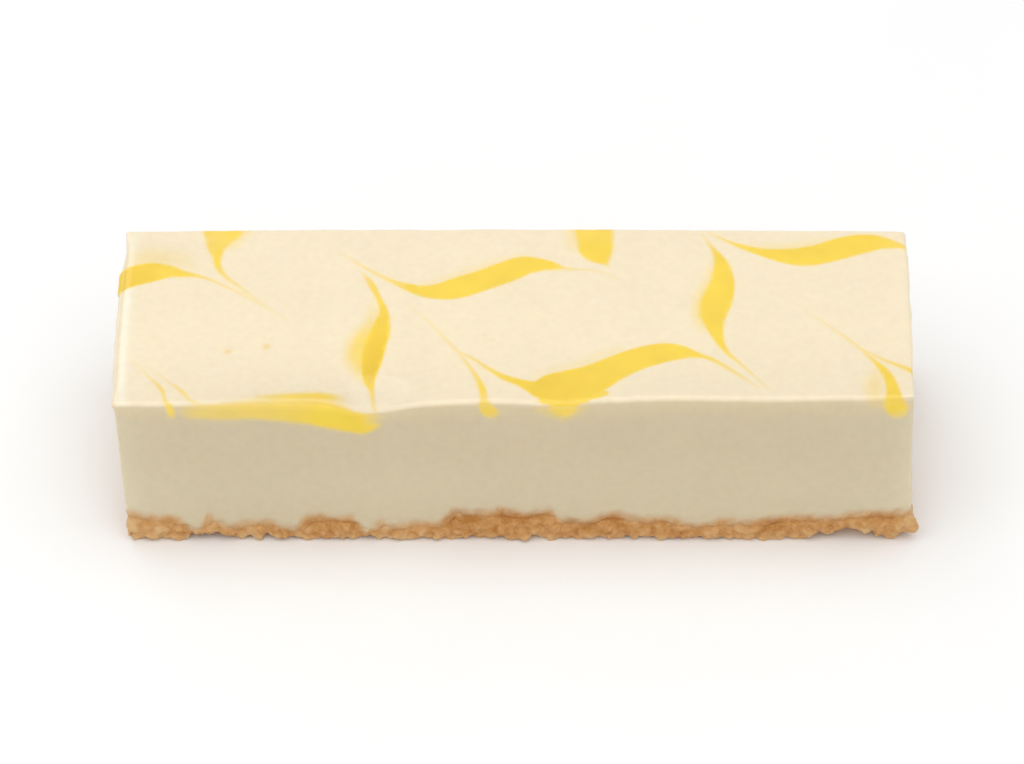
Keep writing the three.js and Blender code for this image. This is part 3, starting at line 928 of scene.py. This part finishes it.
def crumb_tree(name, facets, material):
    """Geometry Nodes: strews irregular crumbs over a surface, each with a tone of its own."""
    tree = bpy.data.node_groups.new(name, "GeometryNodeTree")
    face = tree.interface
    face.new_socket("Geometry", in_out="INPUT", socket_type="NodeSocketGeometry")
    for label, default in (
        ("Spacing", 0.001), ("Smallest", 0.0005), ("Largest", 0.001), ("Warp", 0.3), ("Warp Size", 0.001),
    ):
        face.new_socket(label, in_out="INPUT", socket_type="NodeSocketFloat").default_value = default
    face.new_socket("Seed", in_out="INPUT", socket_type="NodeSocketInt").default_value = 1
    face.new_socket("Geometry", in_out="OUTPUT", socket_type="NodeSocketGeometry")

    def add(kind, **values):
        node = tree.nodes.new(kind)
        for key, value in values.items():
            setattr(node, key, value)
        return node

    def join(source, target):
        tree.links.new(source, target)

    given = add("NodeGroupInput")
    spread = add("GeometryNodeDistributePointsOnFaces", distribute_method="POISSON")
    spread.inputs["Density Max"].default_value = 4.0e6
    join(given.outputs["Geometry"], spread.inputs["Mesh"])
    join(given.outputs["Spacing"], spread.inputs["Distance Min"])
    join(given.outputs["Seed"], spread.inputs["Seed"])

    pebble = add("GeometryNodeMeshIcoSphere")
    pebble.inputs["Radius"].default_value = 1.0
    pebble.inputs["Subdivisions"].default_value = facets

    size = add("FunctionNodeRandomValue", data_type="FLOAT")
    join(given.outputs["Smallest"], size.inputs[2])
    join(given.outputs["Largest"], size.inputs[3])
    join(given.outputs["Seed"], size.inputs["Seed"])
    stretch = add("FunctionNodeRandomValue", data_type="FLOAT_VECTOR")
    stretch.inputs[0].default_value = (0.75, 0.75, 0.7)
    stretch.inputs[1].default_value = (1.2, 1.2, 1.05)
    turn = add("FunctionNodeRandomValue", data_type="FLOAT_VECTOR")
    turn.inputs[1].default_value = (math.tau, math.tau, math.tau)
    scale = add("ShaderNodeVectorMath", operation="SCALE")
    join(stretch.outputs[0], scale.inputs[0])
    join(size.outputs[1], scale.inputs["Scale"])

    place = add("GeometryNodeInstanceOnPoints")
    join(spread.outputs["Points"], place.inputs["Points"])
    join(pebble.outputs["Mesh"], place.inputs["Instance"])
    join(turn.outputs[0], place.inputs["Rotation"])
    join(scale.outputs[0], place.inputs["Scale"])

    tone = add("FunctionNodeRandomValue", data_type="FLOAT")
    tone.inputs["Seed"].default_value = 5
    keep = add("GeometryNodeStoreNamedAttribute", data_type="FLOAT", domain="INSTANCE")
    keep.inputs["Name"].default_value = "tone"
    join(place.outputs["Instances"], keep.inputs["Geometry"])
    join(tone.outputs[1], keep.inputs["Value"])
    real = add("GeometryNodeRealizeInstances")
    join(keep.outputs["Geometry"], real.inputs["Geometry"])

    where = add("GeometryNodeInputPosition")
    shrink = add("ShaderNodeVectorMath", operation="DIVIDE")
    join(where.outputs[0], shrink.inputs[0])
    join(given.outputs["Warp Size"], shrink.inputs[1])
    ripples = add("ShaderNodeTexNoise", noise_dimensions="3D")
    ripples.inputs["Scale"].default_value = 1.0
    ripples.inputs["Detail"].default_value = 1.0
    join(shrink.outputs[0], ripples.inputs["Vector"])
    centred = add("ShaderNodeVectorMath", operation="SUBTRACT")
    join(ripples.outputs["Color"], centred.inputs[0])
    centred.inputs[1].default_value = (0.5, 0.5, 0.5)
    push = add("ShaderNodeVectorMath", operation="SCALE")
    join(centred.outputs[0], push.inputs[0])
    join(given.outputs["Warp"], push.inputs["Scale"])
    move = add("GeometryNodeSetPosition")
    join(real.outputs["Geometry"], move.inputs["Geometry"])
    join(push.outputs[0], move.inputs["Offset"])

    paint = add("GeometryNodeSetMaterial")
    paint.inputs["Material"].default_value = material
    join(move.outputs["Geometry"], paint.inputs["Geometry"])
    given_back = add("NodeGroupOutput")
    join(paint.outputs["Geometry"], given_back.inputs["Geometry"])
    return tree


def strewn(mesh, tree, values):
    """A mesh with a tree of crumbs run over it, as a plain mesh."""
    carrier = link(mesh.name, mesh)
    strewer = carrier.modifiers.new("Crumbs", "NODES")
    strewer.node_group = tree
    for item in tree.interface.items_tree:
        if item.in_out == "INPUT" and item.name in values:
            strewer[item.identifier] = values[item.name]
    return evaluated_mesh(carrier)


def joined(meshes, name):
    bm = bmesh.new()
    for mesh in meshes:
        bm.from_mesh(mesh)
        bpy.data.meshes.remove(mesh)
    whole = bpy.data.meshes.new(name)
    bm.to_mesh(whole)
    bm.free()
    return whole


def fused(mesh, grain, rounds):
    """One closed skin round all the solids of a mesh, with softened hollows."""
    piece = link(mesh.name, mesh)
    skin = piece.modifiers.new("Fuse", "REMESH")
    skin.mode = "VOXEL"
    skin.voxel_size = grain
    soften = piece.modifiers.new("Soften", "SMOOTH")
    soften.factor = 0.5
    soften.iterations = rounds
    return evaluated_mesh(piece)


def thin_out(mesh, hidden, ratio):
    """Fewer faces where the base is hidden by the filling or lies on the table."""
    piece = link(mesh.name, mesh)
    group = piece.vertex_groups.new(name="hidden")
    group.add([int(i) for i in np.flatnonzero(hidden)], 1.0, "REPLACE")
    fewer = piece.modifiers.new("Thin", "DECIMATE")
    fewer.ratio = ratio
    fewer.vertex_group = "hidden"
    fewer.vertex_group_factor = 1.0
    return evaluated_mesh(piece)


def hollowness(mesh, points):
    """Above 0 in cracks and below 0 on knobs, from how a point lies to its neighbours."""
    pairs = np.empty(2 * len(mesh.edges), dtype=np.int64)
    mesh.edges.foreach_get("vertices", pairs)
    pairs = pairs.reshape(-1, 2)
    normals = np.empty(3 * len(mesh.vertices))
    mesh.vertices.foreach_get("normal", normals)
    normals = normals.reshape(-1, 3)
    total = np.zeros_like(points)
    count = np.zeros(len(points))
    for a, b in ((0, 1), (1, 0)):
        np.add.at(total, pairs[:, a], points[pairs[:, b]])
        np.add.at(count, pairs[:, a], 1)
    mean = total / np.maximum(count, 1)[:, None]
    bend = ((mean - points) * normals).sum(axis=1)
    for _ in range(3):
        spread = np.zeros(len(points))
        for a, b in ((0, 1), (1, 0)):
            np.add.at(spread, pairs[:, a], bend[pairs[:, b]])
        bend = 0.5 * bend + 0.5 * spread / np.maximum(count, 1)
    return bend


def clumps_mesh():
    """The single larger crumbs, knobbly, with a middling tone."""
    bm = bmesh.new()
    for x, y, z, radius in CLUMPS:
        spot = Vector(placed(np.array((x, y, z))))
        bmesh.ops.create_icosphere(
            bm, subdivisions=3, radius=radius * MM, matrix=Matrix.Translation(spot))
    mesh = bpy.data.meshes.new("clumps")
    bm.to_mesh(mesh)
    bm.free()
    points = unplaced(read_points(mesh))
    points += 0.25 * np.stack([lattice_noise(points, 1.1, 40 + k) for k in range(3)], axis=1)
    write_points(mesh, placed(points))
    write_attribute(mesh, "tone", np.full(len(points), 0.5))
    return mesh


def make_base(settings, material):
    tree = crumb_tree("pressed_crumbs", 3, material)
    smallest, largest = settings.crumb_radius
    lumps = strewn(band_mesh(0.75, 0.5, -1.5, 4, curve=0.4), tree, {
        "Spacing": settings.spacing, "Smallest": smallest, "Largest": largest,
        "Warp": 0.9 * MM, "Warp Size": 1.3 * MM, "Seed": settings.seed,
    })
    bits = strewn(band_mesh(0.12, 0.25, -0.9, 5, curve=0.4), tree, {
        "Spacing": settings.bit_spacing, "Smallest": 0.3 * smallest, "Largest": 0.45 * largest,
        "Warp": 0.5 * MM, "Warp Size": 0.6 * MM, "Seed": settings.seed + 1,
    })
    crumbs = joined((lumps, bits, clumps_mesh()), "crumbs")
    tones = np.empty(len(crumbs.vertices), dtype=np.float32)
    crumbs.attributes["tone"].data.foreach_get("value", tones)
    finder = kdtree.KDTree(len(crumbs.vertices))
    for i, vert in enumerate(crumbs.vertices):
        finder.insert(vert.co, i)
    finder.balance()

    whole = joined((slab_mesh(), crumbs), "biscuit_base")
    mesh = fused(whole, settings.grain, settings.softening)
    points = unplaced(read_points(mesh))
    hidden = (np.abs(points[:, 0]) < END - 3) & (np.abs(points[:, 1]) < SIDE - 2.5)
    hidden |= points[:, 2] < -0.1
    mesh = thin_out(mesh, hidden, 0.55)

    points = unplaced(read_points(mesh))
    normals = np.empty(3 * len(mesh.vertices))
    mesh.vertices.foreach_get("normal", normals)
    crags = lattice_noise(points, 0.75, 21) + 0.6 * lattice_noise(points, 0.38, 22)
    points += normals.reshape(-1, 3) * (crags * settings.roughness_depth / MM)[:, None]
    points[:, 2] = np.maximum(points[:, 2], 0.0)
    write_points(mesh, placed(points))

    near = np.array([finder.find(co)[1] for co in placed(points)])
    tone = crumb_tone(points) + 0.22 * (tones[near] - 0.5)
    write_attribute(mesh, "tone", np.clip(tone, 0, 1))
    above = points[:, 2] - base_top(points[:, 0], points[:, 1])
    # Painted shade: a mask that darkens the hollows between crumbs and makes their knobs paler, faded out
    # near the filling.
    painted_hollow_shade = np.clip(hollowness(mesh, points) / 0.05, -1, 1)
    write_attribute(mesh, "painted_hollow_shade", painted_hollow_shade * (1 - ease(above, -1.5, -0.3)))
    write_attribute(mesh, "smear", crumb_share(points))
    mesh.shade_smooth()
    mesh.materials.clear()
    mesh.materials.append(material)
    return link("biscuit_base_crumbs", mesh)


def make_loose_crumbs(settings, material):
    tree = crumb_tree("loose_crumbs", 2, material)
    smallest, largest = settings.radius
    mesh = strewn(band_mesh(-0.02, 0.9, 0.5, 5), tree, {
        "Spacing": settings.spacing, "Smallest": smallest, "Largest": largest,
        "Warp": 0.25 * MM, "Warp Size": 0.5 * MM, "Seed": settings.seed,
    })
    points = unplaced(read_points(mesh))
    points[:, 2] = np.maximum(points[:, 2], 0.0)
    write_points(mesh, placed(points))
    tones = np.empty(len(points), dtype=np.float32)
    mesh.attributes["tone"].data.foreach_get("value", tones)
    write_attribute(mesh, "tone", 0.15 + 0.5 * tones)
    write_attribute(mesh, "smear", np.ones(len(points)))
    mesh.shade_smooth()
    return link("loose_biscuit_crumbs", mesh)


# ---- materials -----------------------------------------------------------------------

class Nodes:
    """Short ways to add and join the nodes of one tree."""

    def __init__(self, tree):
        self.tree = tree

    def add(self, kind, inputs=None, **values):
        node = self.tree.nodes.new(kind)
        for key, value in values.items():
            setattr(node, key, value)
        for key, value in (inputs or {}).items():
            if isinstance(value, bpy.types.NodeSocket):
                self.tree.links.new(value, node.inputs[key])
            else:
                node.inputs[key].default_value = value
        return node

    def attribute(self, name):
        return self.add("ShaderNodeAttribute", attribute_name=name).outputs["Fac"]

    def noise(self, vector, scale, detail=2.0):
        inputs = {"Vector": vector, "Scale": scale, "Detail": detail}
        return self.add("ShaderNodeTexNoise", inputs).outputs["Fac"]

    def ranged(self, value, low, high, to_low=0.0, to_high=1.0):
        inputs = {0: value, 1: low, 2: high, 3: to_low, 4: to_high}
        return self.add("ShaderNodeMapRange", inputs).outputs[0]

    def maths(self, operation, a, b=0.0, clamp=False):
        inputs = {0: a, 1: b}
        node = self.add("ShaderNodeMath", inputs, operation=operation, use_clamp=clamp)
        return node.outputs[0]

    def mixed(self, factor, a, b, blend="MIX"):
        inputs = {0: factor, 6: a, 7: b}
        return self.add("ShaderNodeMix", inputs, data_type="RGBA", blend_type=blend).outputs[2]


def new_material(name):
    material = bpy.data.materials.new(name)
    material.use_nodes = True
    material.node_tree.nodes.clear()
    nodes = Nodes(material.node_tree)
    shader = nodes.add("ShaderNodeBsdfPrincipled")
    nodes.add("ShaderNodeOutputMaterial", {"Surface": shader.outputs[0]})
    return material, nodes, shader


def crumb_tones_group():
    """Shader group: colour and height of crushed biscuit, from a tone and a mask of painted shade, darker
    in the hollows between crumbs and paler on their knobs.
    """
    group = bpy.data.node_groups.new("crumb_tones", "ShaderNodeTree")
    face = group.interface
    for label in ("Toasted", "Golden", "Pale"):
        face.new_socket(label, in_out="INPUT", socket_type="NodeSocketColor")
    for label in ("Tone", "Hollow Shade"):
        face.new_socket(label, in_out="INPUT", socket_type="NodeSocketFloat")
    face.new_socket("Color", in_out="OUTPUT", socket_type="NodeSocketColor")
    face.new_socket("Height", in_out="OUTPUT", socket_type="NodeSocketFloat")
    nodes = Nodes(group)
    given = nodes.add("NodeGroupInput").outputs
    spot = nodes.add("ShaderNodeTexCoord").outputs["Object"]
    grains = nodes.noise(spot, 2400.0, 3.0)
    patches = nodes.noise(spot, 600.0, 3.0)
    drift = nodes.maths("MULTIPLY", nodes.maths("SUBTRACT", patches, 0.5), 0.95)
    speck = nodes.maths("MULTIPLY", nodes.maths("SUBTRACT", grains, 0.5), 0.6)
    tone = nodes.maths("ADD", nodes.maths("ADD", given["Tone"], drift), speck)
    # Painted shade in the hollows between crumbs, and painted light on their knobs.
    tone = nodes.maths("SUBTRACT", tone, nodes.maths("MULTIPLY", given["Hollow Shade"], 0.2))
    low = nodes.mixed(nodes.ranged(tone, 0.05, 0.5), given["Toasted"], given["Golden"])
    colour = nodes.mixed(nodes.ranged(tone, 0.5, 0.95), low, given["Pale"])
    nodes.add("NodeGroupOutput", {"Color": colour, "Height": grains})
    return group


def use_crumb_tones(nodes, group, base, tone, painted_hollow_shade):
    inputs = {
        "Toasted": base.dark, "Golden": base.middle, "Pale": base.light,
        "Tone": tone, "Hollow Shade": painted_hollow_shade,
    }
    node = nodes.tree.nodes.new("ShaderNodeGroup")
    node.node_tree = group
    for key, value in inputs.items():
        if isinstance(value, bpy.types.NodeSocket):
            nodes.tree.links.new(value, node.inputs[key])
        else:
            node.inputs[key].default_value = value
    return node.outputs


def crumb_material(name, group, base, filling):
    material, nodes, shader = new_material(name)
    tone = nodes.attribute("tone")
    painted_hollow_shade = nodes.attribute("painted_hollow_shade")
    crumbs = use_crumb_tones(nodes, group, base, tone, painted_hollow_shade)
    bump = nodes.add("ShaderNodeBump", {
        "Strength": 0.45, "Distance": 0.12 * MM, "Height": crumbs["Height"],
    })
    # The smear takes the cut cream, which is darker partly as painted shade.
    creamy = nodes.mixed(nodes.attribute("smear"), filling.shaded_cut_cream, crumbs["Color"])
    nodes.tree.links.new(creamy, shader.inputs["Base Color"])
    nodes.tree.links.new(bump.outputs[0], shader.inputs["Normal"])
    shader.inputs["Roughness"].default_value = 0.72
    shader.inputs["Subsurface Weight"].default_value = 0.15
    shader.inputs["Subsurface Radius"].default_value = (1.0, 0.6, 0.3)
    shader.inputs["Subsurface Scale"].default_value = 0.5 * MM
    return material


def cream_material(group, filling, base):
    material, nodes, shader = new_material("marbled_lemon_cream")
    spot = nodes.add("ShaderNodeTexCoord").outputs["Object"]
    sauce = nodes.attribute("sauce")
    glaze = nodes.attribute("glaze")
    # Painted light on the cut faces beside their corners and low down.
    # The cut cream is darker than the glazed cream, partly as painted shade.
    bare_cream = nodes.mixed(nodes.attribute("painted_light"), filling.shaded_cut_cream, filling.painted_light_cream)
    cream = nodes.mixed(glaze, bare_cream, filling.top_cream)
    # Painted highlight over the left end's shoulder.
    cream = nodes.mixed(nodes.attribute("painted_highlight"), cream, filling.painted_highlight)
    cream = nodes.mixed(nodes.attribute("rim"), cream, filling.rim_cream)
    blotch = nodes.ranged(nodes.noise(spot, 90.0, 3.0), 0.3, 0.7, 0.975, 1.0)
    cream = nodes.mixed(1.0, cream, blotch, "MULTIPLY")
    speckle = nodes.ranged(nodes.noise(spot, 900.0, 2.0), 0.3, 0.7, 0.975, 1.015)
    cream = nodes.mixed(1.0, cream, speckle, "MULTIPLY")
    depth = nodes.ranged(nodes.noise(spot, 260.0, 1.0), 0.3, 0.7, 0.95, 1.03)
    # Painted light: brighter sauce on the cut faces.
    sauce_colour = nodes.mixed(nodes.attribute("cut"), filling.sauce, filling.lit_cut_sauce)
    thick = nodes.ranged(sauce, 1.0, 1.4)
    sauce_colour = nodes.mixed(thick, sauce_colour, filling.deep_sauce)
    sauce_colour = nodes.mixed(1.0, sauce_colour, depth, "MULTIPLY")
    marbled = nodes.mixed(nodes.ranged(sauce, 0.0, 1.0), cream, sauce_colour)
    shade = nodes.maths("SUBTRACT", 1.0, nodes.attribute("shade"))
    marbled = nodes.mixed(1.0, marbled, shade, "MULTIPLY")
    crumbs = use_crumb_tones(nodes, group, base, nodes.attribute("tone"), 0.0)
    marbled = nodes.mixed(nodes.attribute("fleck"), marbled, filling.fleck)
    dusted = nodes.mixed(nodes.attribute("smear"), marbled, crumbs["Color"])
    pores = nodes.noise(spot, 2200.0, 2.0)
    roughness = nodes.ranged(glaze, 0.0, 1.0, 0.52, 0.44)
    bare = nodes.maths("SUBTRACT", 1.0, glaze)
    fine = nodes.maths("MULTIPLY", nodes.maths("MULTIPLY", pores, bare), 0.2)
    coarse = nodes.maths("MULTIPLY", crumbs["Height"], nodes.attribute("smear"))
    bump = nodes.add("ShaderNodeBump", {
        "Strength": 0.45, "Distance": 0.12 * MM, "Height": nodes.maths("ADD", fine, coarse),
    })
    join = nodes.tree.links.new
    join(dusted, shader.inputs["Base Color"])
    join(roughness, shader.inputs["Roughness"])
    join(glaze, shader.inputs["Coat Weight"])
    join(bump.outputs[0], shader.inputs["Normal"])
    shader.inputs["Coat Roughness"].default_value = 0.06
    shader.inputs["Coat IOR"].default_value = 1.4
    shader.inputs["Subsurface Weight"].default_value = 0.35
    shader.inputs["Subsurface Radius"].default_value = (1.0, 0.75, 0.4)
    shader.inputs["Subsurface Scale"].default_value = 0.9 * MM
    return material


def floor_material(colour):
    material, nodes, shader = new_material("plain_floor")
    spot = nodes.add("ShaderNodeTexCoord").outputs["Object"]
    grain = nodes.ranged(nodes.noise(spot, 40.0), 0.3, 0.7, 0.99, 1.0)
    nodes.tree.links.new(nodes.mixed(1.0, colour, grain, "MULTIPLY"), shader.inputs["Base Color"])
    shader.inputs["Roughness"].default_value = 0.9
    return material


def shared_group():
    return bpy.data.node_groups.get("crumb_tones") or crumb_tones_group()


# ---- stage ---------------------------------------------------------------------------

def add_lamp(name, spot, aim, size, power):
    lamp = bpy.data.lights.new(name, "AREA")
    lamp.shape = "RECTANGLE"
    lamp.size, lamp.size_y = size
    lamp.energy = power
    holder = bpy.data.objects.new(name, lamp)
    bpy.context.scene.collection.objects.link(holder)
    holder.location = spot
    holder.rotation_euler = (Vector(aim) - Vector(spot)).to_track_quat("-Z", "Y").to_euler()


def make_floor(settings):
    bm = bmesh.new()
    bmesh.ops.create_grid(bm, x_segments=2, y_segments=2, size=6.0)
    mesh = bpy.data.meshes.new("floor")
    bm.to_mesh(mesh)
    bm.free()
    mesh.materials.append(floor_material(settings.floor))
    floor = link("floor", mesh)
    floor.location.z = MIDDLE.z * MM


def make_camera(settings):
    data = bpy.data.cameras.new("camera")
    data.lens = settings.lens
    data.sensor_width = 36.0
    data.clip_start = 0.01
    camera = bpy.data.objects.new("camera", data)
    bpy.context.scene.collection.objects.link(camera)
    target = (MIDDLE + Vector((-0.204, 0.0, 12.09))) * MM
    back = Vector((0.0, -math.cos(settings.elevation), math.sin(settings.elevation)))
    camera.location = target + back * settings.distance
    camera.rotation_euler = (math.pi / 2 - settings.elevation, 0.0, 0.0)
    bpy.context.scene.camera = camera


def make_sky(strength):
    world = bpy.data.worlds.new("sky")
    world.use_nodes = True
    backdrop = world.node_tree.nodes["Background"]
    backdrop.inputs["Color"].default_value = (1.0, 1.0, 1.0, 1.0)
    backdrop.inputs["Strength"].default_value = strength
    bpy.context.scene.world = world


# ---- operators and panel -------------------------------------------------------------

class CHEESECAKE_OT_stage(Operator):
    """Add the floor, lamps and camera"""
    bl_idname = "cheesecake.stage"
    bl_label = "Add Stage"

    def execute(self, context):
        settings = context.scene.cheesecake_stage
        make_floor(settings)
        make_sky(settings.sky)
        add_lamp("overhead", (-0.05, -0.15, 0.8), (0, 0, 0.01), (1.3, 1.3), settings.lamp_power)
        add_lamp("rim", (-0.42, 0.84, 0.56), (0, 0, 0.01), (0.45, 0.4), settings.rim_power)
        make_camera(settings)
        context.scene.view_settings.view_transform = "Standard"
        return {"FINISHED"}


class CHEESECAKE_OT_filling(Operator):
    """Add the lemon cheese filling with its marbling and glaze"""
    bl_idname = "cheesecake.filling"
    bl_label = "Add Filling"

    def execute(self, context):
        scene = context.scene
        piece = make_filling(scene.cheesecake_filling)
        piece.data.materials.append(
            cream_material(shared_group(), scene.cheesecake_filling, scene.cheesecake_base))
        finish_piece(piece, "lemon_cheese", "lemon_cheese_filling")
        return {"FINISHED"}


class CHEESECAKE_OT_base(Operator):
    """Add the base of pressed biscuit crumbs"""
    bl_idname = "cheesecake.base"
    bl_label = "Add Base"

    def execute(self, context):
        settings = context.scene.cheesecake_base
        filling = context.scene.cheesecake_filling
        material = crumb_material("pressed_biscuit", shared_group(), settings, filling)
        piece = make_base(settings, material)
        finish_piece(piece, "biscuit_crumb", "biscuit_base")
        return {"FINISHED"}


class CHEESECAKE_OT_crumbs(Operator):
    """Add the loose crumbs that cling to the cut faces"""
    bl_idname = "cheesecake.crumbs"
    bl_label = "Add Loose Crumbs"

    def execute(self, context):
        scene = context.scene
        base, filling = scene.cheesecake_base, scene.cheesecake_filling
        material = crumb_material("loose_biscuit", shared_group(), base, filling)
        piece = make_loose_crumbs(scene.cheesecake_crumbs, material)
        finish_piece(piece, "biscuit_crumb")
        return {"FINISHED"}


class CHEESECAKE_PT_panel(Panel):
    bl_label = "Lemon Cheesecake"
    bl_idname = "CHEESECAKE_PT_panel"
    bl_space_type = "VIEW_3D"
    bl_region_type = "UI"
    bl_category = "Cheesecake"

    def draw(self, context):
        for title, settings, operator in (
            ("Stage", context.scene.cheesecake_stage, CHEESECAKE_OT_stage),
            ("Filling", context.scene.cheesecake_filling, CHEESECAKE_OT_filling),
            ("Base", context.scene.cheesecake_base, CHEESECAKE_OT_base),
            ("Loose Crumbs", context.scene.cheesecake_crumbs, CHEESECAKE_OT_crumbs),
        ):
            box = self.layout.box()
            box.label(text=title)
            for name in settings.__annotations__:
                box.prop(settings, name)
            box.operator(operator.bl_idname)


SETTINGS = {
    "cheesecake_filling": CheesecakeFilling,
    "cheesecake_base": CheesecakeBase,
    "cheesecake_crumbs": CheesecakeCrumbs,
    "cheesecake_stage": CheesecakeStage,
}
OPERATORS = (CHEESECAKE_OT_stage, CHEESECAKE_OT_filling, CHEESECAKE_OT_base, CHEESECAKE_OT_crumbs)
CLASSES = (*SETTINGS.values(), *OPERATORS, CHEESECAKE_PT_panel)


def register():
    for cls in CLASSES:
        bpy.utils.register_class(cls)
    for name, cls in SETTINGS.items():
        setattr(bpy.types.Scene, name, PointerProperty(type=cls))


def unregister():
    for name in SETTINGS:
        delattr(bpy.types.Scene, name)
    for cls in reversed(CLASSES):
        bpy.utils.unregister_class(cls)


def main():
    register()
    bpy.ops.cheesecake.stage()
    bpy.ops.cheesecake.filling()
    bpy.ops.cheesecake.base()
    bpy.ops.cheesecake.crumbs()


if __name__ == "__main__":
    main()
